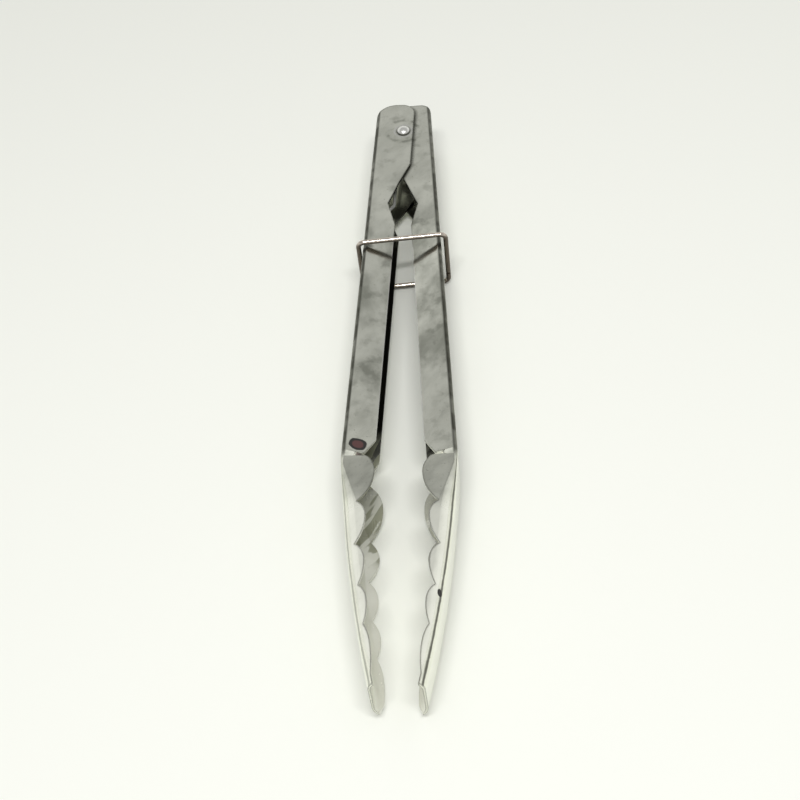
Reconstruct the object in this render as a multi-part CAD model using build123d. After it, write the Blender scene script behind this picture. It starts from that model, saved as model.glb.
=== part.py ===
"""Spring loaded kitchen tongs: two pressed sheet arms on one rivet, a torsion spring and a lock ring.

Millimetres. The origin is on the pivot axis, in the plane that the tongs lie on. +Z is up,
the jaws point along -Y, and the left arm is on the -X side. A station is a distance from the
pivot towards the jaws, measured along an arm.
"""
import os
from math import ceil, cos, pi, radians, sin, sqrt, tan

from build123d import *

# Sheet metal that both arms are pressed from
SHEET = 0.8
BEND_RADIUS = 1.3
CHANNEL_HEIGHT = 19.2
FLANGE_SLOPE = 18.0

# Arm outline, from the hinge end to the end of the handle
ARM_ANGLE = 2.8
ARM_WIDTH = 10.8
HINGE_OVERHANG = 15.2
EAR_REACH = 3.6
EAR_LENGTH = 18.3
LEFT_EAR_RADIUS = 7.5
RIGHT_EAR_RADIUS = 4.0
EAR_INNER_RADIUS = 5.0
EAR_GAP = 0.15
NOTCH_STATION = 37.8
NOTCH_DEPTH = 3.5
NOTCH_END = 46.6
LOWER_NOTCH_SHIFT = 5.2
RIM_INSET = 0.6
HANDLE_END = 142.9
SHOULDER_STATION = 150.1
SHOULDER_DEPTH = 4.4
CREASE_LENGTH = 2.6

# Scalloped jaw: the lobes between one cusp and the next, then a short plain tip
LOBE_PITCHES = (19.5, 14.6, 13.6, 12.5, 14.8)
LOBE_BULGES = (4.7, 3.0, 2.5, 1.9, 1.1)
LOBE_PEAK = 0.4
CUSP_DEPTHS = (3.95, 3.45, 1.35, -1.1, -4.2)
TIP_LENGTH = 3.2
TIP_DEPTH = -5.0
LOWER_RIM_EXTRA = 1.8

# Scoop that the jaw is pressed into behind the first lobe, with sides that flare outwards
JAW_LEAN = 7.0
JAW_CURVE = 7.0
JAW_RADIUS = 6.0
JAW_FLARE = 22.0
FLARE_START = 3.0
JAW_SECTIONS = 6

# Pivot rivet
RIVET_DIAMETER = 3.4
RIVET_HEAD_DIAMETER = 5.2
RIVET_DOME_HEIGHT = 1.6
RIVET_FOOT_HEIGHT = 3.6
RIVET_EDGE = 0.5
PIN_CLEARANCE = 0.05
HEAD_GAP = 0.05

# Torsion spring
SPRING_WIRE = 1.2
SPRING_RADIUS = 3.0
SPRING_TURNS = 3
SPRING_PITCH = 1.75
SPRING_LEG = 26.0
SPRING_FOOT_ANGLE = 40.0
SPRING_BEND = 2.4
SPRING_SEAT_GAP = 0.15
MIN_WIRE_GAP = 0.4
SAMPLES_PER_WIRE = 3

# Lock ring of bent wire
RING_WIRE = 1.7
RING_STATION = 58.5
RING_SIDE_CLEARANCE = 0.8
RING_CLEARANCE = 0.3
RING_DROP = 1.0
RING_CORNER = 2.1
RING_LEAN = 0.35
RING_SKEW = 4.2
RING_BUTT_GAP = 0.5
RING_BUTT_RISE = 4.5

# Heights that follow from the stack of ears on the rivet
ARM_STEP = SHEET + EAR_GAP
LOWER_ARM_BASE = RIVET_FOOT_HEIGHT + HEAD_GAP
UPPER_ARM_BASE = LOWER_ARM_BASE + ARM_STEP
STACK_TOP = UPPER_ARM_BASE + CHANNEL_HEIGHT

# Stations and other sizes that follow from the sizes above
TIP_STATION = SHOULDER_STATION + sum(LOBE_PITCHES) + TIP_LENGTH
JAW_LENGTH = TIP_STATION - SHOULDER_STATION
CREASE_START = SHOULDER_STATION - CREASE_LENGTH / 2
CREASE_END = SHOULDER_STATION + CREASE_LENGTH / 2
SCOOP_STATION = SHOULDER_STATION + LOBE_PITCHES[0]
HALF_HEIGHT = CHANNEL_HEIGHT / 2
HOLE_RADIUS = RIVET_DIAMETER / 2 + PIN_CLEARANCE
EAR_RUN = NOTCH_STATION - EAR_LENGTH
EAR_FLAT_END = EAR_LENGTH + EAR_RUN * EAR_REACH / (EAR_REACH + NOTCH_DEPTH)
OUTLINE_MARGIN = 4.0
OPEN_DEPTH = ARM_WIDTH + EAR_REACH + OUTLINE_MARGIN


def web_offset(station):
    """Distance of an arm's outer face from its inner line at a station."""
    share = max(station - SHOULDER_STATION, 0.0) / JAW_LENGTH
    return ARM_WIDTH - JAW_LEAN * share - JAW_CURVE * share**2


def scoop_share(station):
    """How far the channel has turned into the scoop at a station, from 0 to 1."""
    return min(max((station - CREASE_END) / (SCOOP_STATION - CREASE_END), 0.0), 1.0)


def channel_section(station, slope, inset):
    """Closed section of the channel at a station, filled up to its open side."""
    tilt = radians(slope)
    web = -web_offset(station) + inset
    top = HALF_HEIGHT - inset * (tan(tilt) + 1 / cos(tilt))
    bend = BEND_RADIUS + (JAW_RADIUS - BEND_RADIUS) * scoop_share(station) - inset
    open_x = web + OPEN_DEPTH + inset
    turn = radians(90 + slope)
    run = bend * tan(turn / 2)
    centre = (web + bend, top - run)
    middle = (centre[0] - bend * cos(turn / 2), centre[1] + bend * sin(turn / 2))
    flange = (web + run * cos(tilt), top - run * sin(tilt))
    rim = (open_x, top - (open_x - web) * tan(tilt))

    def at(point, side):
        return (point[0], -station, side * point[1])

    edges = [
        Line(at((web, centre[1]), -1), at((web, centre[1]), 1)),
        ThreePointArc(at((web, centre[1]), 1), at(middle, 1), at(flange, 1)),
        Line(at(flange, 1), at(rim, 1)),
        Line(at(rim, 1), at(rim, -1)),
        Line(at(rim, -1), at(flange, -1)),
        ThreePointArc(at(flange, -1), at(middle, -1), at((web, centre[1]), -1)),
    ]
    return Face(Wire(edges))


def over_first_lobe(inset, rim_extra):
    """Space over the flat first lobe, which rises to the flared rim at the first cusp."""
    low = HALF_HEIGHT - inset
    cusp_reach = web_offset(SCOOP_STATION) - CUSP_DEPTHS[0] + rim_extra
    high = low + cusp_reach * tan(radians(JAW_FLARE))
    outline = Polyline(
        (-CREASE_END, low),
        (-SCOOP_STATION, high),
        (-SCOOP_STATION, CHANNEL_HEIGHT + OPEN_DEPTH),
        (-CREASE_END, CHANNEL_HEIGHT + OPEN_DEPTH),
        close=True,
    )
    return extrude(Plane.YZ * make_face(outline), amount=2 * OPEN_DEPTH, both=True)


def channel_solid(inset, overrun):
    """Whole arm as a filled channel: outer skin for no inset, hollow for one sheet of inset."""
    flare_start = CREASE_END + FLARE_START
    slopes = [
        (-HINGE_OVERHANG - overrun, 0.0),
        (EAR_FLAT_END, 0.0),
        (NOTCH_END, FLANGE_SLOPE),
        (CREASE_START, FLANGE_SLOPE),
        (CREASE_END, 0.0),
        (flare_start, -JAW_FLARE),
    ]
    sections = [channel_section(station, slope, inset) for station, slope in slopes]
    jaw_end = TIP_STATION + overrun
    stations = [flare_start, (flare_start + SCOOP_STATION) / 2]
    for index in range(JAW_SECTIONS):
        stations.append(SCOOP_STATION + (jaw_end - SCOOP_STATION) * index / (JAW_SECTIONS - 1))
    solid = loft([channel_section(station, -JAW_FLARE, inset) for station in stations])
    for pair in zip(sections, sections[1:]):
        solid += loft(pair, ruled=True)
    upper_space = over_first_lobe(inset, 0.0)
    lower_space = mirror(over_first_lobe(inset, LOWER_RIM_EXTRA), Plane.XY)
    return solid - upper_space - lower_space


def scallop_edges(rim_extra):
    """Edges of the lobes from the shoulder to the tip, each of two arcs that meet at its peak."""
    edges = []
    start = Vector(-SHOULDER_DEPTH, -SHOULDER_STATION)
    for pitch, bulge, depth in zip(LOBE_PITCHES, LOBE_BULGES, CUSP_DEPTHS):
        end = Vector(-depth + rim_extra, start.Y - pitch)
        chord = (end - start).normalized()
        outward = Vector(-chord.Y, chord.X)
        peak = start + (end - start) * LOBE_PEAK + outward * bulge
        edges.append(TangentArc(peak, start, tangent=chord * -1))
        edges.append(TangentArc(peak, end, tangent=chord))
        start = end
    tip = Vector(-TIP_DEPTH, -TIP_STATION)
    edges.append(Line(start, tip))
    return edges, tip


def arm_outline(ear_radius, rim_extra, notch_shift):
    """Plan of the sheet that is kept, from the hinge end to the tip."""
    far = -ARM_WIDTH - OUTLINE_MARGIN
    hinge_y = HINGE_OVERHANG
    outer_start = Vector(-ARM_WIDTH, hinge_y - ear_radius)
    outer_end = Vector(-ARM_WIDTH + ear_radius, hinge_y)
    inner_start = Vector(EAR_REACH - EAR_INNER_RADIUS, hinge_y)
    inner_end = Vector(EAR_REACH, hinge_y - EAR_INNER_RADIUS)
    ear_corner = Vector(EAR_REACH, -EAR_LENGTH)
    notch = Vector(-NOTCH_DEPTH, notch_shift - NOTCH_STATION)
    notch_end = Vector(-RIM_INSET, notch_shift - NOTCH_END)
    handle_end = Vector(-RIM_INSET, -HANDLE_END)
    shoulder = Vector(-SHOULDER_DEPTH, -SHOULDER_STATION)
    scallops, tip = scallop_edges(rim_extra)
    edges = [
        Line((far, outer_start.Y), outer_start),
        TangentArc(outer_start, outer_end, tangent=(0, 1)),
        Line(outer_end, inner_start),
        TangentArc(inner_start, inner_end, tangent=(1, 0)),
        Line(inner_end, ear_corner),
        Line(ear_corner, notch),
        Line(notch, notch_end),
        Line(notch_end, handle_end),
        Line(handle_end, shoulder),
        *scallops,
        Line(tip, (far, tip.Y)),
        Line((far, tip.Y), (far, outer_start.Y)),
    ]
    return make_face(edges)


def build_arm(ear_radius):
    """Left arm about its own mid height, with its inner line on the Y axis and the pivot at the origin."""
    shell = channel_solid(0.0, 0.0) - channel_solid(SHEET, SHEET)
    reach = TIP_STATION + HINGE_OVERHANG + 4 * OUTLINE_MARGIN
    around = Pos(0, (HINGE_OVERHANG - TIP_STATION) / 2) * Rectangle(reach, reach)
    for side, rim_extra, notch_shift in ((1, 0.0, 0.0), (-1, LOWER_RIM_EXTRA, LOWER_NOTCH_SHIFT)):
        waste = around - arm_outline(ear_radius, rim_extra, notch_shift)
        shell -= extrude(waste, amount=side * CHANNEL_HEIGHT, dir=(0, 0, 1))
    shell -= Cylinder(HOLE_RADIUS, 2 * CHANNEL_HEIGHT)
    return shell


def build_arms():
    """Left arm with its upper ear outermost, and the mirrored right arm one sheet lower."""
    left = Pos(0, 0, UPPER_ARM_BASE + HALF_HEIGHT) * Rot(Z=-ARM_ANGLE) * build_arm(LEFT_EAR_RADIUS)
    mirrored = mirror(build_arm(RIGHT_EAR_RADIUS), Plane.YZ)
    return left, Pos(0, 0, LOWER_ARM_BASE + HALF_HEIGHT) * Rot(Z=ARM_ANGLE) * mirrored


def build_rivet():
    """Rivet with a domed head on the upper ear and a flat one that the tongs lie on."""
    head = RIVET_HEAD_DIAMETER / 2
    shank = RIVET_DIAMETER / 2
    dome_radius = (head**2 + RIVET_DOME_HEIGHT**2) / (2 * RIVET_DOME_HEIGHT)
    half_way = radians(45)
    dome_middle_x = head * sin(half_way)
    dome_drop = dome_radius - sqrt(dome_radius**2 - dome_middle_x**2)
    dome_top = STACK_TOP + RIVET_DOME_HEIGHT
    edges = [
        Line((0, 0, 0), (head - RIVET_EDGE, 0, 0)),
        Line((head - RIVET_EDGE, 0, 0), (head, 0, RIVET_EDGE)),
        Line((head, 0, RIVET_EDGE), (head, 0, RIVET_FOOT_HEIGHT)),
        Line((head, 0, RIVET_FOOT_HEIGHT), (shank, 0, RIVET_FOOT_HEIGHT)),
        Line((shank, 0, RIVET_FOOT_HEIGHT), (shank, 0, STACK_TOP)),
        Line((shank, 0, STACK_TOP), (head, 0, STACK_TOP)),
        ThreePointArc((head, 0, STACK_TOP), (dome_middle_x, 0, dome_top - dome_drop), (0, 0, dome_top)),
        Line((0, 0, dome_top), (0, 0, 0)),
    ]
    return revolve(make_face(edges), Axis.Z)


def biarc(start, start_dir, end, end_dir):
    """Two arcs that join two points with the given directions."""
    span = end - start
    both = start_dir + end_dir
    closing = 2 * (1 - start_dir.dot(end_dir))
    along = span.dot(both)
    reach = (-along + sqrt(along**2 + closing * span.dot(span))) / closing
    middle = (start + end + (start_dir - end_dir) * reach) * 0.5
    middle_dir = (end - end_dir * reach - start - start_dir * reach).normalized()
    return [TangentArc(start, middle, tangent=start_dir), TangentArc(middle, end, tangent=middle_dir)]


def spring_leg(side, height):
    """Points of one leg, from the coil down the arm to a foot that bends out to the web."""
    angle = radians(side * ARM_ANGLE)
    along = Vector(sin(angle), -cos(angle), 0)
    outward = Vector(side * cos(angle), side * sin(angle), 0)
    foot = radians(SPRING_FOOT_ANGLE)
    bend_end_x = SPRING_RADIUS + SPRING_BEND * (1 - cos(foot))
    bend_end_s = SPRING_LEG + SPRING_BEND * sin(foot)
    seat = SPRING_WIRE / 2 * cos(foot) + SPRING_SEAT_GAP
    foot_length = (ARM_WIDTH - SHEET - seat - bend_end_x) / tan(foot)
    foot_x = bend_end_x + foot_length * tan(foot)
    foot_s = bend_end_s + foot_length
    coil = outward * SPRING_RADIUS
    points = [
        coil,
        coil + along * SPRING_LEG,
        outward * bend_end_x + along * bend_end_s,
        outward * foot_x + along * foot_s,
    ]
    lifted = [point + Vector(0, 0, height) for point in points]
    return lifted, along, along * cos(foot) + outward * sin(foot)


def coil_place(turn_angle, start_height):
    """Point and direction on the coil after a turn, clockwise from the left leg."""
    polar = radians(180 - ARM_ANGLE - turn_angle)
    rise = SPRING_PITCH / 360
    point = Vector(SPRING_RADIUS * cos(polar), SPRING_RADIUS * sin(polar), start_height + rise * turn_angle)
    flat = radians(1) * SPRING_RADIUS
    direction = Vector(flat * sin(polar), -flat * cos(polar), rise).normalized()
    return point, direction


def least_gap(path):
    """Least gap of a wire to itself, measured on points further apart along it than one half turn."""
    step = SPRING_WIRE / SAMPLES_PER_WIRE
    count = ceil(path.length / step)
    points = [path.position_at(index / count) for index in range(count + 1)]
    apart = ceil(pi * SPRING_RADIUS / step)
    nearest = min(
        (points[later] - points[first]).length
        for first in range(count + 1)
        for later in range(first + apart, count + 1)
    )
    return nearest - SPRING_WIRE


def build_spring():
    """Torsion spring: one wire from foot to foot, wound round the rivet between the ears."""
    sweep_angle = 360 * SPRING_TURNS + 180 - 2 * ARM_ANGLE
    coil_rise = SPRING_PITCH * sweep_angle / 360
    inner_low = UPPER_ARM_BASE + SHEET
    inner_high = LOWER_ARM_BASE + CHANNEL_HEIGHT - SHEET
    start_height = (inner_low + inner_high - coil_rise) / 2
    left, left_along, left_foot = spring_leg(-1, start_height)
    right, right_along, right_foot = spring_leg(1, start_height + coil_rise)
    lead = SPRING_WIRE
    left_end = left[0] + left_along * lead
    right_start = right[0] + right_along * lead
    edges = [
        Line(left[3], left[2]),
        TangentArc(left[2], left[1], tangent=left_foot * -1),
        Line(left[1], left_end),
    ]
    quarters = 4 * SPRING_TURNS + 2
    place = (left_end, left_along * -1)
    for quarter in range(1, quarters):
        following = coil_place(sweep_angle * quarter / quarters, start_height)
        edges += biarc(*place, *following)
        place = following
    edges += biarc(*place, right_start, right_along)
    edges += [
        Line(right_start, right[1]),
        TangentArc(right[1], right[2], tangent=right_along),
        Line(right[2], right[3]),
    ]
    path = Wire(edges)
    gap = least_gap(path)
    print(f"spring: wire {path.length:.1f} mm long, least gap to itself {gap:.2f} mm")
    if gap < MIN_WIRE_GAP:
        print("spring: its turns are too close")
    profile = Plane(path.position_at(0), z_dir=path.tangent_at(0)) * Circle(SPRING_WIRE / 2)
    return sweep(profile, path=path)


def build_lock_ring():
    """Bent wire ring round both arms, open at a butt joint low on its right leg."""
    angle = radians(ARM_ANGLE)
    arms_half_width = ARM_WIDTH * cos(angle) + RING_STATION * sin(angle)
    half_width = arms_half_width + RING_SIDE_CLEARANCE + RING_WIRE / 2
    low = LOWER_ARM_BASE - RING_DROP - RING_WIRE / 2
    high = STACK_TOP + RING_CLEARANCE + RING_WIRE / 2
    butt = low + RING_BUTT_RISE

    def at(x, z):
        lean = RING_LEAN * (high - z) / (high - low)
        return Vector(x, -RING_STATION - lean + x * tan(radians(RING_SKEW)), z)

    corners = [
        at(half_width, butt + RING_BUTT_GAP / 2),
        at(half_width, high),
        at(-half_width, high),
        at(-half_width, low),
        at(half_width, low),
        at(half_width, butt - RING_BUTT_GAP / 2),
    ]
    path = FilletPolyline(*corners, radius=RING_CORNER)
    profile = Plane(path.position_at(0), z_dir=path.tangent_at(0)) * Circle(RING_WIRE / 2)
    return sweep(profile, path=path)


def main():
    """Build every piece and write one file for each."""
    os.makedirs("parts", exist_ok=True)
    left_arm, right_arm = build_arms()
    pieces = {
        "left_arm": left_arm,
        "right_arm": right_arm,
        "pivot_rivet": build_rivet(),
        "torsion_spring": build_spring(),
        "lock_ring": build_lock_ring(),
    }
    for name, shape in pieces.items():
        export_step(shape, f"parts/{name}.step")
        print(f"{name}: {shape.volume:.1f} mm3")


main()
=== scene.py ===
"""Sprung kitchen tongs: steel finishes, the wound spring, a pale table, soft light and a camera.

Metres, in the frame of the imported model: the pivot axis is the Z axis, the jaws point along -Y,
the left arm is on the -X side and the tongs lie on the plane Z = 0.
"""
from functools import partial, reduce
from math import cos, pi, radians, sin
from typing import NamedTuple

import bmesh
import bpy
from bpy.props import FloatProperty, FloatVectorProperty, IntProperty, PointerProperty
from mathutils import Matrix, Vector


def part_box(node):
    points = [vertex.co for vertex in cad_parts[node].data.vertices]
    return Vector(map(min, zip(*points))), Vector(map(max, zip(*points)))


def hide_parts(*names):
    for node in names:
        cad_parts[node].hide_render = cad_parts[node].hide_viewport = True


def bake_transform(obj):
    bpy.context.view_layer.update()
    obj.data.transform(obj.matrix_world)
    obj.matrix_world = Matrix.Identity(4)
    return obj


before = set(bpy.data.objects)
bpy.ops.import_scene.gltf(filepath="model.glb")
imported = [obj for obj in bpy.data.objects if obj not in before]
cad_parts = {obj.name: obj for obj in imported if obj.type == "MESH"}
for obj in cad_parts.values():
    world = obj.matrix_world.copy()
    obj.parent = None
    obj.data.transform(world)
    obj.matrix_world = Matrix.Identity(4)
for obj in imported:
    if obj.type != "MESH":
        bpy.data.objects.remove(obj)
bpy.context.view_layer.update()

bl_info = {
    "name": "Kitchen tongs",
    "version": (1, 0, 0),
    "blender": (4, 5, 0),
    "location": "View3D > Sidebar > Tongs",
    "description": "Dresses the sprung kitchen tongs and sets their stage",
    "category": "Object",
}


class Pattern(NamedTuple):
    """Cloudy pattern: clouds to the metre, fineness, stretch, turn about Z, and where a mark fades in."""

    scale: float
    detail: float = 3.0
    stretch: tuple = (1.0, 1.0, 1.0)
    turn: float = 0.0
    fade: tuple = None


UP = Vector((0, 0, 1))
MM = 0.001
ARM_ANGLE = radians(2.8)

# Stretches along Y: from, to, and the softness of both ends
GRIP = (-128 * MM, -44 * MM, 12 * MM)
RIM_HIGHLIGHT_SPAN = (-146 * MM, -56 * MM, 4 * MM)
FIRST_LOBE = (-167 * MM, -151 * MM, 2 * MM)
OLD_GREASE = (-177 * MM, -133 * MM, 3 * MM)
OLD_GREASE_RAGGED = 6 * MM

# Places along Y: where handle ends and jaw starts, then pairs where a mark begins and where it is whole
HANDLE_END = -148 * MM
JAW_START = -153 * MM
INNER_REFLECTION_SPAN = (-130 * MM, -158 * MM)
LOBE_REFLECTION_SPAN = (-168 * MM, -173 * MM)
WASHED = (-165 * MM, -172 * MM)
# Next two: the grime and painted shade inside the channel, lighter near the pivot, and where it begins
# towards the jaw
DEEP_DIRT_AND_SHADE = (-18 * MM, -24 * MM)
CHANNEL_DARK_FADE = (-150 * MM, -125 * MM)

# Rings on the ears, by distance from the pivot axis: from, to, and the softness of both ends
RUBBED = (2.9 * MM, 3.7 * MM, 0.35 * MM)
PUSHED_GREASE = (5.4 * MM, 6.6 * MM, 0.8 * MM)

# Painted dark reflection along the outer bend of a handle, by distance from the arm's pivot line
BORDER = (9.1 * MM, 9.8 * MM)

# How far a face looks up or sideways, from 0 to 1, where a mark begins and where it is whole
LEVEL = (0.2, 0.6)
FACING_UP = (0.3, 0.7)
FACING_IN = (0.25, 0.6)
FACING_OUT = (0.0, 0.2)
BORDER_LEVEL = (0.1, 0.2)
# The ring's painted shade, by how far its faces look down or sideways
RING_UNDER = (0.75, 0.15)

# The crease along a jaw, by how level its faces are: from, to, and the softness of both ends
CREASE_LEVEL = (0.37, 0.53, 0.05)

# Faces that look towards the middle height of a channel: weight of height, and where they count
HEIGHT_WEIGHT = 200.0
UNDER_SIDE = (0.2, 0.7)

# Painted dark outline along edges, and painted shade in nooks of the sheet
EDGE_WIDTH = 0.8 * MM
EDGE_TURN = (0.99, 0.9)
NOOK_REACH = 1.6 * MM
NOOK_SHADE = (0.9, 0.7)
NOOK_SAMPLES = 4

# Drop and speck, by share of the way from the middle to the edge
MARK_EDGE = (1.06, 0.94)
MARK_RAGGED = 0.45
BURNT_BORDER = (0.55, 0.7)

# Painted shade round the foot of the rivet's head, by share of its radius
RIVET_FOOT_SHADE = (0.78, 0.97)

# Share of darkening that is everywhere, and what is added to it: the painted dark reflection along the
# bends, then the grime and painted shade inside the channels
DARK_BORDER_SHARES = (0.78, 0.18)
CHANNEL_DIRT_AND_SHADE = (0.35, 0.57)

# Patterns of the marks, and of the small unevenness of the sheet
CLOUDS = Pattern(90.0, 6.0, (1.0, 0.6, 1.0), fade=(0.36, 0.66))
SMEARS = Pattern(240.0, 6.0, (1.0, 0.5, 1.0), radians(40), (0.38, 0.74))
SPECKS = Pattern(1300.0, 2.0, fade=(0.68, 0.74))
BLOTCHES = Pattern(210.0, 5.0, fade=(0.52, 0.7))
PUSHED_PATCHES = Pattern(150.0, fade=(0.46, 0.62))
STREAKS = Pattern(420.0, 1.0, (1.0, 0.22, 0.3), radians(35), (0.51, 0.58))
BORDER_PATCHES = Pattern(160.0, fade=(0.35, 0.6))
RIVET_SPOTS = Pattern(900.0, fade=(0.55, 0.75))
RING_SPOTS = Pattern(700.0, 4.0, fade=(0.55, 0.72))
SPRING_PATCHES = Pattern(500.0, 4.0, fade=(0.45, 0.75))
GREASE_RIM = Pattern(260.0)
MARK_RIM = Pattern(420.0)
SCUFFS = Pattern(2600.0, 2.0, (1.0, 0.03, 1.0))
DENTS = Pattern(120.0)
DENT_DEPTH = 0.06 * MM

# Roughness of each clean metal, what a mark adds to it, and the table's roughness and shine
SHEET_ROUGH = 0.08
RIVET_ROUGH = 0.26
RING_ROUGH = 0.16
SPRING_ROUGH = 0.32
SMUDGE_AND_REFLECTION_ROUGH = 0.1
SCUFF_ROUGH = 0.05
DULLING_ROUGH = 0.2
MARK_ROUGH = 0.4
TARNISH_AND_SHADE_ROUGH = 0.25
TABLE_ROUGH = 0.7
TABLE_SHINE = 0.2

# The spring's pale skin is hardly metallic, its dull patches are more so
SPRING_METAL = (0.15, 0.4)

# Winding of the spring
TURN_STEP = radians(9)
LEAST_STEPS = 6
MERGE_SHARE = 0.001

# Light of the room by height, from the horizon at 0 to straight up at 1, as a share of its strength
WALLS = ((0.0, 1.0), (0.42, 0.9), (0.53, 0.82))
CEILING = ((0.6, 1.0), (1.0, 1.1))
SKY = ((0.0, 0.4), (0.3, 0.5), (0.8, 1.0), (1.0, 1.0))
ROOM_BLUE = 0.985

# Width of the camera's sensor in millimetres, and the nearest distance that it sees
SENSOR_WIDTH = 36
NEAREST = 10 * MM


class TongsSteel(bpy.types.PropertyGroup):
    """Colours of the metal pieces, of the marks of use on them, and of the painted light and shade on them
    """

    sheet_colour: FloatVectorProperty(
        name="Sheet colour",
        description="Clean pressed sheet of the arms",
        subtype="COLOR",
        default=(0.86, 0.87, 0.775),
    )
    # Colour of the greasy patches, and of the painted dark reflection on the first lobe's level faces
    smudge_and_reflection_colour: FloatVectorProperty(
        name="Smudge colour",
        description="Greasy patches on the sheet",
        subtype="COLOR",
        default=(0.38, 0.39, 0.335),
    )
    # Real grime in the channels, rivet and spring, and also the painted shade in channels and nooks, the
    # painted dark outline on edges and the painted dark reflection along the bends
    grime_and_shade_colour: FloatVectorProperty(
        name="Grime colour",
        description="Dirt inside the channels and along the bends",
        subtype="COLOR",
        default=(0.05, 0.051, 0.038),
    )
    # Pale colour of the painted reflection inside the jaws and on the lobes' upward faces, set as a dull
    # coat
    pale_reflection_colour: FloatVectorProperty(
        name="Film colour",
        description="Dull pale film on the jaws, most of it inside",
        subtype="COLOR",
        default=(0.88, 0.88, 0.8),
    )
    # Dark olive of old grease, and of the painted dark reflection where the jaws begin
    grease_and_reflection_colour: FloatVectorProperty(
        name="Grease colour",
        description="Old cooking grease where the jaws begin",
        subtype="COLOR",
        default=(0.235, 0.24, 0.16),
    )
    # Bright colour of the rubbed ring round the rivet head, and of the painted highlight along the handles'
    # rims
    rubbed_and_highlight_colour: FloatVectorProperty(
        name="Rubbed colour",
        description="Bright ring round the rivet head, and the worn rims of the handles",
        subtype="COLOR",
        default=(0.9, 0.9, 0.86),
    )
    stain_colour: FloatVectorProperty(
        name="Stain colour",
        description="Baked drop near the end of the left handle",
        subtype="COLOR",
        default=(0.085, 0.034, 0.032),
    )
    char_colour: FloatVectorProperty(
        name="Char colour",
        description="Burnt border of the drop, and the burnt speck on the right jaw",
        subtype="COLOR",
        default=(0.012, 0.011, 0.009),
    )
    wire_colour: FloatVectorProperty(
        name="Ring wire colour",
        description="Bright wire of the lock ring",
        subtype="COLOR",
        default=(0.6, 0.54, 0.47),
    )
    # Dark brown of the painted shade on the ring's sides and underside, and of its spots of tarnish
    tarnish_and_shade_colour: FloatVectorProperty(
        name="Tarnish colour",
        description="Brown tarnish on the wire",
        subtype="COLOR",
        default=(0.05, 0.038, 0.028),
    )
    spring_colour: FloatVectorProperty(
        name="Spring wire colour",
        description="Duller wire of the torsion spring",
        subtype="COLOR",
        default=(0.85, 0.85, 0.8),
    )
    rivet_colour: FloatVectorProperty(
        name="Rivet colour",
        description="Polished head of the rivet",
        subtype="COLOR",
        default=(0.76, 0.76, 0.73),
    )


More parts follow.
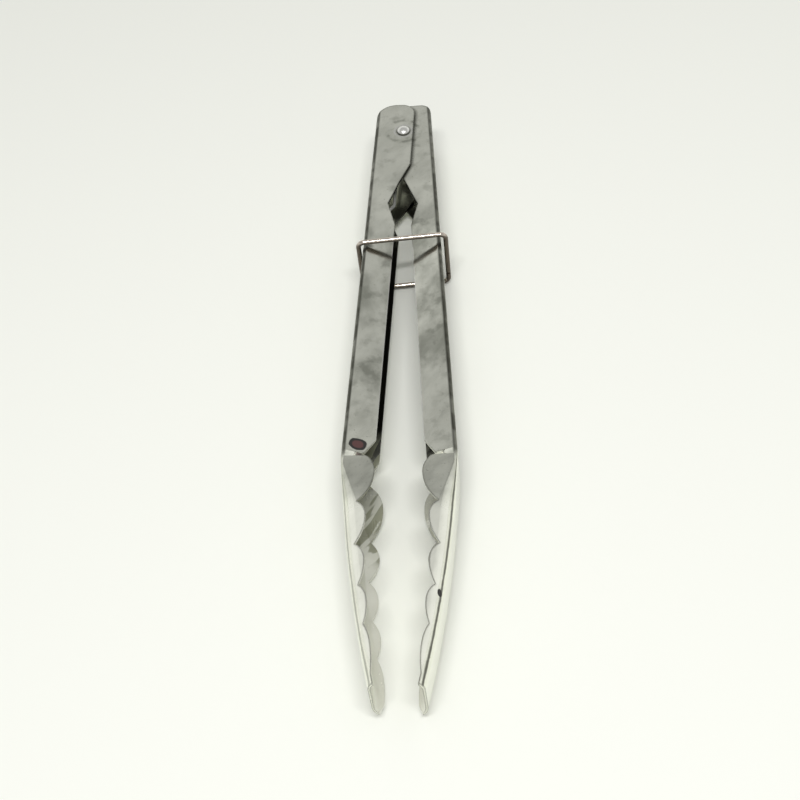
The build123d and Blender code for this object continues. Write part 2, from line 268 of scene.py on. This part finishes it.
class TongsWearAndLight(bpy.types.PropertyGroup):
    """Places of single marks, and the share of each kind of use mark and of painted light and shade, from 0
    to 1
    """

    stain_place: FloatVectorProperty(
        name="Stain place",
        description="Middle of the baked drop",
        subtype="TRANSLATION",
        unit="LENGTH",
        default=(-12.95 * MM, -145.4 * MM, 22.3 * MM),
    )
    stain_size: FloatVectorProperty(
        name="Stain size",
        description="Half lengths of the baked drop",
        subtype="TRANSLATION",
        unit="LENGTH",
        default=(3.2 * MM, 2.3 * MM, 1.9 * MM),
    )
    speck_place: FloatVectorProperty(
        name="Speck place",
        description="Middle of the burnt speck on the right jaw",
        subtype="TRANSLATION",
        unit="LENGTH",
        default=(12.2 * MM, -199.7 * MM, 23 * MM),
    )
    speck_size: FloatVectorProperty(
        name="Speck size",
        description="Half lengths of the burnt speck",
        subtype="TRANSLATION",
        unit="LENGTH",
        default=(0.6 * MM, 1.2 * MM, 4 * MM),
    )
    clouds: FloatProperty(name="Clouds", description="Soft grease all over", subtype="FACTOR", default=0.2)
    grip_clouds: FloatProperty(
        name="Grip clouds", description="More soft grease on the grip", subtype="FACTOR", default=0.62
    )
    smears: FloatProperty(name="Smears", description="Slanting smears", subtype="FACTOR", default=0.3)
    specks: FloatProperty(name="Specks", description="Small specks", subtype="FACTOR", default=0.5)
    blotches: FloatProperty(name="Blotches", description="On the handles", subtype="FACTOR", default=0.35)
    # Painted dark reflection on the level faces of the first lobe
    first_lobe: FloatProperty(
        name="First lobe", description="Dull patch where the jaws begin", subtype="FACTOR", default=0.32
    )
    pushed: FloatProperty(
        name="Pushed grease", description="Ring round the rivet head", subtype="FACTOR", default=0.8
    )
    washed: FloatProperty(
        name="Washed", description="Smudge that washing took off the jaws", subtype="FACTOR", default=0.4
    )
    on_walls: FloatProperty(
        name="On walls", description="Smudge that the upright walls keep", subtype="FACTOR", default=0.6
    )
    rubbed: FloatProperty(name="Rubbed", description="Round the rivet head", subtype="FACTOR", default=0.7)
    # Painted highlight along the sharp rims of the handles
    highlighted: FloatProperty(name="Worn", description="Bare rims of the handles", subtype="FACTOR", default=0.8)
    # Painted pale reflection inside the jaws
    inner_reflection: FloatProperty(name="Film", description="Inside the jaws", subtype="FACTOR", default=0.65)
    # Painted pale reflection on the upward faces of the lobes past the first
    lobe_reflection: FloatProperty(name="Thin film", description="On the lobes", subtype="FACTOR", default=0.33)
    # Painted dark outline along sharp edges
    edge_outline_shade: FloatProperty(name="Edge dirt", description="Along edges", subtype="FACTOR", default=0.85)
    # Painted shade in nooks beside things that stand up from the sheet
    nook_shade_share: FloatProperty(name="Nook dirt", description="In nooks", subtype="FACTOR", default=0.9)
    # Darker along the crease of each jaw
    crease_darkening: FloatVectorProperty(
        name="Crease dirt", description="Along the left and right jaw's crease", size=2, default=(0.55, 0.9)
    )
    # Old grease and painted dark reflection inside the jaws
    grease: FloatVectorProperty(
        name="Old grease", description="Inside the left and right jaw", size=2, default=(0.85, 0.45)
    )
    wiped: FloatProperty(
        name="Wiped", description="Old grease that the wipes took off", subtype="FACTOR", default=0.8
    )
    wiped_walls: FloatProperty(
        name="Wiped walls", description="Wipes on upright walls", subtype="FACTOR", default=0.35
    )
    rivet_spots: FloatProperty(
        name="Rivet spots", description="Dull spots on the rivet", subtype="FACTOR", default=0.3
    )
    # Painted shade on the ring's sides and underside
    tarnish_and_shade: FloatProperty(
        name="Tarnish", description="On the ring's sides and underneath", subtype="FACTOR", default=0.87
    )
    ring_spots: FloatProperty(
        name="Ring spots", description="Spots of tarnish on the ring", subtype="FACTOR", default=0.4
    )
    spring_dirt: FloatProperty(
        name="Spring dirt", description="Dull patches on the spring", subtype="FACTOR", default=0.45
    )


class TongsSpring(bpy.types.PropertyGroup):
    """Sizes of the torsion spring"""

    wire: FloatProperty(name="Wire", description="Diameter of the wire", unit="LENGTH", default=1.2 * MM)
    radius: FloatProperty(
        name="Coil radius", description="To the middle of the wire", unit="LENGTH", default=3 * MM
    )
    turns: IntProperty(name="Turns", description="Whole turns, to which nearly a half is added", default=3)
    pitch: FloatProperty(name="Pitch", description="Rise of one turn", unit="LENGTH", default=1.75 * MM)
    leg: FloatProperty(name="Leg", description="From the coil to the bend", unit="LENGTH", default=26 * MM)
    bend: FloatProperty(
        name="Bend radius", description="Between leg and foot", unit="LENGTH", default=2.4 * MM
    )
    foot_angle: FloatProperty(
        name="Foot angle", description="Turn of the foot from the leg", subtype="ANGLE", default=radians(40)
    )
    arm_angle: FloatProperty(
        name="Arm angle", description="Turn of each arm from the middle", subtype="ANGLE", default=ARM_ANGLE
    )
    seat: FloatProperty(
        name="Seat",
        description="From the arm's pivot line to the foot's end",
        unit="LENGTH",
        default=9.39 * MM,
    )
    sides: IntProperty(name="Sides", description="Sides of the round wire", default=16)


class TongsStage(bpy.types.PropertyGroup):
    """Table, light and camera"""

    table_colour: FloatVectorProperty(
        name="Table colour", description="Pale table top", subtype="COLOR", default=(0.93, 0.94, 0.88)
    )
    table_size: FloatProperty(
        name="Table size", description="Side of the table", unit="LENGTH", default=6.0
    )
    lamp_power: FloatProperty(name="Lamp power", description="Overhead lamp", subtype="POWER", default=6.5)
    lamp_length: FloatProperty(
        name="Lamp length", description="Of the tube, across the tongs", unit="LENGTH", default=0.6
    )
    lamp_width: FloatProperty(
        name="Lamp width", description="Of the tube's shade", unit="LENGTH", default=0.1
    )
    lamp_place: FloatVectorProperty(
        name="Lamp place",
        description="Middle of the lamp",
        subtype="TRANSLATION",
        unit="LENGTH",
        default=(0.05, -0.51, 1.0),
    )
    wall_light: FloatProperty(name="Wall light", description="Light from the pale walls", default=0.95)
    ceiling_light: FloatProperty(
        name="Ceiling light", description="Light from the grey ceiling", default=0.48
    )
    sky_light: FloatProperty(name="Sky light", description="Soft light that falls from above", default=0.6)
    target: FloatVectorProperty(
        name="Target",
        description="Point in the middle of the picture",
        subtype="TRANSLATION",
        unit="LENGTH",
        default=(-1.71 * MM, -113.69 * MM, 3.75 * MM),
    )
    distance: FloatProperty(
        name="Distance", description="Camera to target", unit="LENGTH", default=457.2 * MM
    )
    azimuth: FloatProperty(
        name="Azimuth",
        description="Turn of the camera from the jaws' end",
        subtype="ANGLE",
        default=radians(6.67),
    )
    elevation: FloatProperty(
        name="Elevation", description="Camera above the table", subtype="ANGLE", default=radians(51)
    )
    roll: FloatProperty(
        name="Roll", description="Turn of the picture", subtype="ANGLE", default=radians(7.72)
    )
    lens: FloatProperty(name="Lens", description="Focal length in millimetres", default=61.26)


class Finish:
    """Metal finish under construction, with a short call for each kind of node it is made of."""

    def __init__(self, name):
        self.material = bpy.data.materials.new(name)
        self.material.use_nodes = True
        self.shader = self.material.node_tree.nodes["Principled BSDF"]
        self.shader.inputs["Metallic"].default_value = 1.0
        coordinates = self.node("ShaderNodeTexCoord")
        self.place = coordinates.outputs["Object"]
        self.x, self.y, self.z = self.parts(self.place)
        self.facing_x, _, self.facing_z = self.parts(coordinates.outputs["Normal"])
        self.flatness = self.math("ABSOLUTE", self.facing_z)
        self.level = self.step(self.flatness, *LEVEL)

    def node(self, kind, inputs=(), **settings):
        """New node, with its settings and with values or links for its first inputs."""
        node = self.material.node_tree.nodes.new(kind)
        for name, value in settings.items():
            setattr(node, name, value)
        for socket, value in zip(node.inputs, inputs):
            self.feed(socket, value)
        return node

    def feed(self, socket, value):
        """Gives an input a value, a colour or a link."""
        if isinstance(value, bpy.types.NodeSocket):
            self.material.node_tree.links.new(value, socket)
        elif socket.type == "RGBA":
            socket.default_value = (*value, 1)
        else:
            socket.default_value = value

    def parts(self, vector):
        """X, Y and Z of a vector."""
        return self.node("ShaderNodeSeparateXYZ", (vector,)).outputs

    def math(self, operation, *values):
        """One operation on numbers."""
        return self.node("ShaderNodeMath", values, operation=operation).outputs[0]

    def plus(self, start, *terms):
        """A value and some terms added up, each term a value and its weight."""
        for value, weight in terms:
            start = self.math("MULTIPLY_ADD", value, weight, start)
        return start

    def product(self, *values):
        """Values multiplied together."""
        return reduce(partial(self.math, "MULTIPLY"), values)

    def most(self, *values):
        """Largest of some values."""
        return reduce(partial(self.math, "MAXIMUM"), values)

    def step(self, value, low, high):
        """Smooth rise from 0 to 1 between two values, or fall where the first is the higher."""
        inputs = (value, low, high, 0.0, 1.0)
        return self.node("ShaderNodeMapRange", inputs, interpolation_type="SMOOTHSTEP").outputs[0]

    def fewer_on_walls(self, share):
        """1 on level faces, and a smaller share on upright ones."""
        return self.plus(share, (self.level, 1.0 - share))

    def window(self, value, low, high, soft):
        """1 between two values and 0 outside them, with soft ends."""
        rise = self.step(value, low - soft, low + soft)
        return self.product(rise, self.step(value, high + soft, high - soft))

    def noise(self, pattern):
        """Values of a pattern from 0 to 1, or the share of its mark if it has a fade."""
        turned = self.node("ShaderNodeMapping", (self.place,))
        turned.inputs["Rotation"].default_value = (0, 0, pattern.turn)
        stretched = self.node("ShaderNodeMapping", (turned.outputs[0],))
        stretched.inputs["Scale"].default_value = pattern.stretch
        node = self.node("ShaderNodeTexNoise", (stretched.outputs[0],))
        node.inputs["Scale"].default_value = pattern.scale
        node.inputs["Detail"].default_value = pattern.detail
        cloud = node.outputs["Fac"]
        return self.step(cloud, *pattern.fade) if pattern.fade else cloud

    def spot(self, place, size):
        """Distance from the middle of a ragged oval spot, 1 at its edge."""
        mapping = self.node("ShaderNodeMapping", (self.place,), vector_type="TEXTURE")
        mapping.inputs["Location"].default_value = place
        mapping.inputs["Scale"].default_value = size
        length = self.node("ShaderNodeVectorMath", (mapping.outputs[0],), operation="LENGTH")
        ragged = self.math("SUBTRACT", self.noise(MARK_RIM), 0.5)
        return self.plus(length.outputs["Value"], (ragged, MARK_RAGGED))

    def from_axis(self):
        """Distance from the pivot axis."""
        squares = [self.product(part, part) for part in (self.x, self.y)]
        return self.math("SQRT", self.math("ADD", *squares))

    def edges(self):
        """1 along sharp edges and 0 away from them."""
        bevel = self.node("ShaderNodeBevel", (EDGE_WIDTH,))
        normal = self.node("ShaderNodeNewGeometry").outputs["Normal"]
        turned = self.node("ShaderNodeVectorMath", (bevel.outputs[0], normal), operation="DOT_PRODUCT")
        return self.step(turned.outputs["Value"], *EDGE_TURN)

    def nooks(self):
        """Painted shade: 1 close beside something that stands up from the surface and 0 in the open."""
        shade = self.node("ShaderNodeAmbientOcclusion", samples=NOOK_SAMPLES)
        shade.inputs["Distance"].default_value = NOOK_REACH
        return self.step(shade.outputs["AO"], *NOOK_SHADE)

    def blend(self, factor, first, second):
        """Colour between two colours."""
        node = self.node("ShaderNodeMix", (factor,), data_type="RGBA")
        sockets = [socket for socket in node.inputs if socket.type == "RGBA"]
        self.feed(sockets[0], first)
        self.feed(sockets[1], second)
        return next(socket for socket in node.outputs if socket.type == "RGBA")

    def use(self, colour, roughness):
        """Joins colour and roughness to the shader."""
        self.feed(self.shader.inputs["Base Color"], colour)
        self.feed(self.shader.inputs["Roughness"], roughness)

    def metal(self, share):
        """Joins the share of bare metal to the shader."""
        self.feed(self.shader.inputs["Metallic"], share)

    def dent(self, height, distance):
        """Small unevenness of the surface."""
        bump = self.node("ShaderNodeBump")
        bump.inputs["Distance"].default_value = distance
        self.feed(bump.inputs["Height"], height)
        self.feed(self.shader.inputs["Normal"], bump.outputs[0])

    def put_on(self, piece):
        """Makes this the only finish of a piece."""
        piece.data.materials.clear()
        piece.data.materials.append(self.material)


class TONGS_OT_finish_arms(bpy.types.Operator):
    """Gives both arms the finish of used pressed sheet, with painted shade, painted highlights and painted
    reflections
    """

    bl_idname = "tongs.finish_arms"
    bl_label = "Finish arms"

    def execute(self, context):
        steel = context.scene.tongs_steel
        wear_and_light = context.scene.tongs_wear
        drop = (wear_and_light.stain_place, wear_and_light.stain_size, steel.stain_colour)
        speck = (wear_and_light.speck_place, wear_and_light.speck_size, steel.char_colour)
        left, right = zip(wear_and_light.crease_darkening, wear_and_light.grease)
        self.finish_arm(steel, wear_and_light, "left_arm", 1, left, drop)
        self.finish_arm(steel, wear_and_light, "right_arm", -1, right, speck)
        return {"FINISHED"}

    def finish_arm(self, steel, wear_and_light, name, inward, shares, mark):
        """Sheet finish of one arm, whose open side faces along X in the given sense."""
        crease_darkening, grease_and_reflection_share = shares
        mark_place, mark_size, mark_colour = mark
        finish = Finish(name.replace("_", " ") + " sheet")
        inside = self.inside(finish, name, inward)
        smudge_and_reflection = self.smudges_and_reflection(finish, wear_and_light)
        rubbed = finish.product(finish.window(finish.from_axis(), *RUBBED), wear_and_light.rubbed)
        # Painted pale reflection on the upward faces of the lobes past the first
        lobe_reflection = finish.product(
            finish.step(finish.facing_z, *FACING_UP), wear_and_light.lobe_reflection, finish.step(finish.y, *LOBE_REFLECTION_SPAN)
        )
        edges = finish.edges()
        # Painted highlight along the sharp rims of the handles
        highlighted = finish.product(edges, finish.window(finish.y, *RIM_HIGHLIGHT_SPAN))
        darkening = finish.most(
            self.darkening(finish, inward, inside, crease_darkening),
            # Painted dark outline along sharp edges, left off where the rims carry the painted highlight
            finish.product(finish.math("SUBTRACT", edges, highlighted), wear_and_light.edge_outline_shade),
            # Painted shade in nooks
            finish.product(finish.nooks(), wear_and_light.nook_shade_share),
        )
        # Painted pale reflection on the faces inside the jaws, set as a dull pale coat
        inner_reflection = finish.product(inside, finish.step(finish.y, *INNER_REFLECTION_SPAN), wear_and_light.inner_reflection)
        # Old grease and painted dark reflection inside the channel where the jaw begins
        grease = finish.product(self.grease(finish, wear_and_light, inside), grease_and_reflection_share)
        from_mark = finish.spot(mark_place, mark_size)
        marked = finish.step(from_mark, *MARK_EDGE)
        burnt = finish.step(from_mark, *BURNT_BORDER)
        layers = (
            (smudge_and_reflection, steel.smudge_and_reflection_colour),
            (rubbed, steel.rubbed_and_highlight_colour),
            (lobe_reflection, steel.pale_reflection_colour),
            (finish.product(highlighted, wear_and_light.highlighted), steel.rubbed_and_highlight_colour),
            (darkening, steel.grime_and_shade_colour),
            (inner_reflection, steel.pale_reflection_colour),
            (grease, steel.grease_and_reflection_colour),
            (marked, finish.blend(burnt, mark_colour, steel.char_colour)),
        )
        colour = steel.sheet_colour
        for share, layer_colour in layers:
            colour = finish.blend(share, colour, layer_colour)
        rough = finish.plus(
            SHEET_ROUGH,
            (smudge_and_reflection, SMUDGE_AND_REFLECTION_ROUGH),
            (finish.noise(SCUFFS), SCUFF_ROUGH),
            (finish.most(darkening, inner_reflection, lobe_reflection), DULLING_ROUGH),
            (marked, MARK_ROUGH),
        )
        finish.use(colour, rough)
        finish.metal(finish.math("SUBTRACT", 1.0, finish.most(inner_reflection, lobe_reflection, grease, marked)))
        finish.dent(finish.noise(DENTS), DENT_DEPTH)
        finish.put_on(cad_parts[name])

    def inside(self, finish, name, inward):
        """1 on the faces that look into the channel and 0 on the outer faces."""
        low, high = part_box(name)
        middle = (low[2] + high[2]) / 2
        below_middle = finish.product(finish.math("SUBTRACT", finish.z, middle), -HEIGHT_WEIGHT)
        under = finish.step(finish.product(below_middle, finish.facing_z), *UNDER_SIDE)
        inner = finish.step(finish.product(finish.facing_x, inward), *FACING_IN)
        return finish.most(under, inner)

    def smudges_and_reflection(self, finish, wear_and_light):
        """Share of greasy patches: clouds and smears, most on the grip, with specks, dull patches and a
        painted dark reflection on the first lobe's level faces.
        """
        on_grip = finish.window(finish.y, *GRIP)
        on_lobe = finish.product(finish.window(finish.y, *FIRST_LOBE), finish.level)
        on_handle = finish.step(finish.y, JAW_START, HANDLE_END)
        round_rivet = finish.window(finish.from_axis(), *PUSHED_GREASE)
        clouds = finish.product(
            finish.noise(CLOUDS), finish.plus(wear_and_light.clouds, (on_grip, wear_and_light.grip_clouds))
        )
        amount = finish.plus(
            clouds,
            (finish.noise(SMEARS), wear_and_light.smears),
            # Painted dark reflection on the level faces of the first lobe
            (on_lobe, wear_and_light.first_lobe),
            (finish.noise(SPECKS), wear_and_light.specks),
            (finish.product(finish.noise(BLOTCHES), on_handle), wear_and_light.blotches),
            (finish.product(round_rivet, finish.noise(PUSHED_PATCHES)), wear_and_light.pushed),
        )
        unwashed = finish.plus(1.0, (finish.step(finish.y, *WASHED), -wear_and_light.washed))
        amount = finish.product(amount, unwashed, finish.fewer_on_walls(wear_and_light.on_walls))
        return finish.math("MINIMUM", amount, 1.0)

    def grease(self, finish, wear_and_light, inside):
        """Share of old grease and painted dark reflection: inside the channel where the jaw begins, with
        slanting wipes.
        """
        ragged = finish.math("SUBTRACT", finish.noise(GREASE_RIM), 0.5)
        along = finish.plus(finish.y, (ragged, OLD_GREASE_RAGGED))
        wipes = finish.product(finish.noise(STREAKS), finish.fewer_on_walls(wear_and_light.wiped_walls))
        unwiped = finish.plus(1.0, (wipes, -wear_and_light.wiped))
        return finish.product(inside, finish.window(along, *OLD_GREASE), unwiped)

    def darkening(self, finish, inward, inside, crease_darkening):
        """Share of darkening: a painted dark reflection along the outer bends of the handle, darker along
        the jaw's crease, and grime with painted shade inside the channel of the handle.
        """
        on_jaw = finish.step(finish.y, HANDLE_END, JAW_START)
        on_handle = finish.math("SUBTRACT", 1.0, on_jaw)
        sideways = finish.product(finish.y, sin(ARM_ANGLE))
        across = finish.plus(sideways, (finish.x, -inward * cos(ARM_ANGLE)))
        steady, patchy = DARK_BORDER_SHARES
        # Painted dark reflection along the outer bend of the handle, in patches
        border = finish.product(
            finish.step(across, *BORDER),
            finish.step(finish.flatness, *BORDER_LEVEL),
            finish.plus(steady, (finish.noise(BORDER_PATCHES), patchy)),
            on_handle,
        )
        outward = finish.step(finish.product(finish.facing_x, -inward), *FACING_OUT)
        # Darker along the jaw's crease, on its outward faces
        crease = finish.product(finish.window(finish.flatness, *CREASE_LEVEL), on_jaw, outward, crease_darkening)
        # Grime and painted shade inside the channel, lighter near the pivot and fading out where the jaw
        # begins
        shallow, deeper = CHANNEL_DIRT_AND_SHADE
        depth = finish.plus(shallow, (finish.step(finish.y, *DEEP_DIRT_AND_SHADE), deeper))
        channel = finish.product(inside, depth, finish.step(finish.y, *CHANNEL_DARK_FADE))
        return finish.most(border, crease, channel)


class TONGS_OT_finish_rivet(bpy.types.Operator):
    """Gives the rivet its polish, with painted shade round the foot of its head"""

    bl_idname = "tongs.finish_rivet"
    bl_label = "Finish rivet"

    def execute(self, context):
        steel = context.scene.tongs_steel
        wear_and_light = context.scene.tongs_wear
        low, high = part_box("pivot_rivet")
        head_radius = (high[0] - low[0]) / 2
        finish = Finish("polished rivet")
        # Painted shade on the sloping rim at the foot of the head
        foot = finish.step(finish.from_axis(), *(share * head_radius for share in RIVET_FOOT_SHADE))
        darkening = finish.most(foot, finish.product(finish.noise(RIVET_SPOTS), wear_and_light.rivet_spots))
        colour = finish.blend(darkening, steel.rivet_colour, steel.grime_and_shade_colour)
        finish.use(colour, finish.plus(RIVET_ROUGH, (darkening, DULLING_ROUGH)))
        finish.put_on(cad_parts["pivot_rivet"])
        return {"FINISHED"}


class TONGS_OT_finish_ring(bpy.types.Operator):
    """Gives the lock ring the finish of bright drawn wire, with painted shade in dark brown on its sides
    and underneath
    """

    bl_idname = "tongs.finish_ring"
    bl_label = "Finish lock ring"

    def execute(self, context):
        steel = context.scene.tongs_steel
        wear_and_light = context.scene.tongs_wear
        finish = Finish("ring wire")
        # Painted shade in dark brown on the ring's sides and underside; the spots are tarnish
        under = finish.product(finish.step(finish.facing_z, *RING_UNDER), wear_and_light.tarnish_and_shade)
        spots = finish.product(finish.noise(RING_SPOTS), wear_and_light.ring_spots)
        tarnish_and_shade = finish.most(under, spots)
        colour = finish.blend(tarnish_and_shade, steel.wire_colour, steel.tarnish_and_shade_colour)
        finish.use(colour, finish.plus(RING_ROUGH, (tarnish_and_shade, TARNISH_AND_SHADE_ROUGH)))
        finish.put_on(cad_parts["lock_ring"])
        return {"FINISHED"}


class TONGS_OT_wind_spring(bpy.types.Operator):
    """Winds the torsion spring from foot to foot out of one round wire"""

    bl_idname = "tongs.wind_spring"
    bl_label = "Wind spring"

    def execute(self, context):
        spring = context.scene.tongs_spring
        mesh = bpy.data.meshes.new("wound_spring")
        bm = self.wind(spring)
        bm.to_mesh(mesh)
        bm.free()
        mesh.shade_smooth()
        piece = bpy.data.objects.new("wound_spring", mesh)
        context.scene.collection.objects.link(piece)
        self.dull(context).put_on(piece)
        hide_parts("torsion_spring")
        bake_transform(piece)
        return {"FINISHED"}

    def dull(self, context):
        """Finish of dull drawn wire."""
        steel = context.scene.tongs_steel
        finish = Finish("spring wire")
        darkening = finish.product(finish.noise(SPRING_PATCHES), context.scene.tongs_wear.spring_dirt)
        colour = finish.blend(darkening, steel.spring_colour, steel.grime_and_shade_colour)
        finish.use(colour, finish.plus(SPRING_ROUGH, (darkening, DULLING_ROUGH)))
        pale, added = SPRING_METAL
        finish.metal(finish.plus(pale, (darkening, added)))
        return finish

    def wind(self, spring):
        """Mesh of the whole spring, lengthened run by run from the left foot to the right one."""
        sweep = 2 * pi * spring.turns + pi - 2 * spring.arm_angle
        rise = UP * (spring.pitch * sweep / (2 * pi))
        low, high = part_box("torsion_spring")
        base = UP * (low[2] + high[2]) / 2 - rise / 2
        cosine, sine = cos(spring.foot_angle), sin(spring.foot_angle)
        foot = (spring.seat - spring.radius - spring.bend * (1 - cosine)) / sine
        bm = bmesh.new()
        along = Vector((-sin(spring.arm_angle), -cos(spring.arm_angle), 0))
        outward = Vector((-cos(spring.arm_angle), sin(spring.arm_angle), 0))
        pin = base + outward * (spring.radius + spring.bend) + along * spring.leg
        foot_way = along * cosine + outward * sine
        foot_end = pin + (along * sine - outward * cosine) * spring.bend + foot_way * foot
        place = Matrix.Translation(foot_end) @ foot_way.to_track_quat("Z", "Y").to_matrix().to_4x4()
        first = bmesh.ops.create_circle(
            bm, cap_ends=True, segments=spring.sides, radius=spring.wire / 2, matrix=place
        )
        rim = self.edges_between(first["verts"])
        rim = self.run(bm, rim, foot_way * -foot)
        rim = self.turn(bm, rim, pin, UP, spring.foot_angle)
        rim = self.run(bm, rim, along * -spring.leg)
        rim = self.turn(bm, rim, base, -UP, sweep, rise)
        along = Vector((-along.x, along.y, 0))
        outward = Vector((-outward.x, outward.y, 0))
        rim = self.run(bm, rim, along * spring.leg)
        pin = base + rise + outward * (spring.radius + spring.bend) + along * spring.leg
        rim = self.turn(bm, rim, pin, UP, spring.foot_angle)
        rim = self.run(bm, rim, (along * cosine + outward * sine) * foot)
        bmesh.ops.edgeloop_fill(bm, edges=rim)
        bmesh.ops.remove_doubles(bm, verts=bm.verts, dist=MERGE_SHARE * spring.wire)
        bmesh.ops.recalc_face_normals(bm, faces=bm.faces)
        return bm

    def run(self, bm, rim, shift):
        """Lengthens the wire straight on and gives its new end."""
        grown = bmesh.ops.extrude_edge_only(bm, edges=rim)["geom"]
        verts = [item for item in grown if isinstance(item, bmesh.types.BMVert)]
        bmesh.ops.translate(bm, verts=verts, vec=shift)
        return self.edges_between(verts)

    def turn(self, bm, rim, centre, axis, angle, rise=Vector()):
        """Lengthens the wire round an axis and gives its new end."""
        steps = max(LEAST_STEPS, round(angle / TURN_STEP))
        grown = bmesh.ops.spin(
            bm, geom=rim, cent=centre, axis=axis, angle=angle, steps=steps, dvec=rise / steps
        )["geom_last"]
        return [item for item in grown if isinstance(item, bmesh.types.BMEdge)]

    def edges_between(self, verts):
        """Edges with both ends among some vertices."""
        chosen = set(verts)
        linked = dict.fromkeys(edge for vert in verts for edge in vert.link_edges)
        return [edge for edge in linked if chosen.issuperset(edge.verts)]


class TONGS_OT_set_stage(bpy.types.Operator):
    """Lays the table, hangs the lamp and sets the camera"""

    bl_idname = "tongs.set_stage"
    bl_label = "Set stage"

    def execute(self, context):
        stage = context.scene.tongs_stage
        self.lay_table(context, stage)
        self.light_room(context, stage)
        self.hang_lamp(context, stage)
        self.set_camera(context, stage)
        context.scene.view_settings.view_transform = "Standard"
        return {"FINISHED"}

    def lay_table(self, context, stage):
        """Wide pale table under the tongs."""
        bm = bmesh.new()
        bmesh.ops.create_grid(bm, x_segments=1, y_segments=1, size=stage.table_size / 2)
        mesh = bpy.data.meshes.new("table")
        bm.to_mesh(mesh)
        bm.free()
        table = bpy.data.objects.new("table", mesh)
        context.scene.collection.objects.link(table)
        material = bpy.data.materials.new("pale table")
        material.use_nodes = True
        shader = material.node_tree.nodes["Principled BSDF"]
        shader.inputs["Base Color"].default_value = (*stage.table_colour, 1)
        shader.inputs["Roughness"].default_value = TABLE_ROUGH
        shader.inputs["Specular IOR Level"].default_value = TABLE_SHINE
        mesh.materials.append(material)

    def light_room(self, context, stage):
        """Pale walls and a greyer ceiling where they are seen or mirrored, and soft light from above."""
        world = bpy.data.worlds.new("room")
        world.use_nodes = True
        nodes = world.node_tree.nodes
        links = world.node_tree.links
        direction = nodes.new("ShaderNodeSeparateXYZ")
        links.new(nodes.new("ShaderNodeTexCoord").outputs["Generated"], direction.inputs[0])
        path = nodes.new("ShaderNodeLightPath")
        direct = path.outputs["Is Camera Ray"]
        for kind in ("Is Glossy Ray", "Is Transmission Ray"):
            either = nodes.new("ShaderNodeMath")
            either.operation = "MAXIMUM"
            links.new(direct, either.inputs[0])
            links.new(path.outputs[kind], either.inputs[1])
            direct = either.outputs[0]
        mix = nodes.new("ShaderNodeMix")
        mix.data_type = "RGBA"
        links.new(direct, mix.inputs["Factor"])
        seen = self.levels(WALLS, stage.wall_light) + self.levels(CEILING, stage.ceiling_light)
        shed = self.levels(SKY, stage.sky_light)
        sockets = [socket for socket in mix.inputs if socket.type == "RGBA"]
        for stops, socket in zip((shed, seen), sockets):
            ramp = nodes.new("ShaderNodeValToRGB")
            links.new(direction.outputs["Z"], ramp.inputs[0])
            elements = ramp.color_ramp.elements
            while len(elements) < len(stops):
                elements.new(0.5)
            for element, (height, level) in zip(elements, stops):
                element.position = height
                element.color = (level, level, ROOM_BLUE * level, 1)
            links.new(ramp.outputs["Color"], socket)
        result = next(socket for socket in mix.outputs if socket.type == "RGBA")
        links.new(result, nodes["Background"].inputs["Color"])
        context.scene.world = world

    def levels(self, stops, strength):
        """Heights with the level of light at each."""
        return [(height, share * strength) for height, share in stops]

    def hang_lamp(self, context, stage):
        """Long narrow lamp across the tongs, turned towards them."""
        data = bpy.data.lights.new("overhead lamp", "AREA")
        data.shape = "RECTANGLE"
        data.size = stage.lamp_length
        data.size_y = stage.lamp_width
        data.energy = stage.lamp_power
        lamp = bpy.data.objects.new("overhead lamp", data)
        place = Vector(stage.lamp_place)
        aim = (Vector(stage.target) - place).to_track_quat("-Z", "Y").to_matrix().to_4x4()
        lamp.matrix_world = Matrix.Translation(place) @ aim
        context.scene.collection.objects.link(lamp)

    def set_camera(self, context, stage):
        """Camera above the jaws' end, looking down at the middle of the tongs."""
        data = bpy.data.cameras.new("camera")
        data.lens = stage.lens
        data.sensor_width = SENSOR_WIDTH
        data.clip_start = NEAREST
        camera = bpy.data.objects.new("camera", data)
        level = cos(stage.elevation)
        towards = Vector((level * sin(stage.azimuth), -level * cos(stage.azimuth), sin(stage.elevation)))
        place = Vector(stage.target) + towards * stage.distance
        facing = (-towards).to_track_quat("-Z", "Y").to_matrix().to_4x4()
        camera.matrix_world = Matrix.Translation(place) @ facing @ Matrix.Rotation(-stage.roll, 4, "Z")
        context.scene.collection.objects.link(camera)
        context.scene.camera = camera


class TONGS_PT_panel(bpy.types.Panel):
    """Lists the steps that dress the tongs"""

    bl_idname = "TONGS_PT_panel"
    bl_label = "Kitchen tongs"
    bl_space_type = "VIEW_3D"
    bl_region_type = "UI"
    bl_category = "Tongs"

    def draw(self, context):
        for step in STEPS:
            self.layout.operator(step.bl_idname)


SETTINGS = {
    "tongs_steel": TongsSteel,
    "tongs_wear": TongsWearAndLight,
    "tongs_spring": TongsSpring,
    "tongs_stage": TongsStage,
}
STEPS = (
    TONGS_OT_finish_arms,
    TONGS_OT_finish_rivet,
    TONGS_OT_finish_ring,
    TONGS_OT_wind_spring,
    TONGS_OT_set_stage,
)


def register():
    for name, group in SETTINGS.items():
        bpy.utils.register_class(group)
        setattr(bpy.types.Scene, name, PointerProperty(type=group))
    for step in STEPS:
        bpy.utils.register_class(step)
    bpy.utils.register_class(TONGS_PT_panel)


def unregister():
    bpy.utils.unregister_class(TONGS_PT_panel)
    for step in reversed(STEPS):
        bpy.utils.unregister_class(step)
    for name, group in SETTINGS.items():
        delattr(bpy.types.Scene, name)
        bpy.utils.unregister_class(group)


def main():
    register()
    bpy.ops.tongs.finish_arms()
    bpy.ops.tongs.finish_rivet()
    bpy.ops.tongs.finish_ring()
    bpy.ops.tongs.wind_spring()
    bpy.ops.tongs.set_stage()


if __name__ == "__main__":
    main()
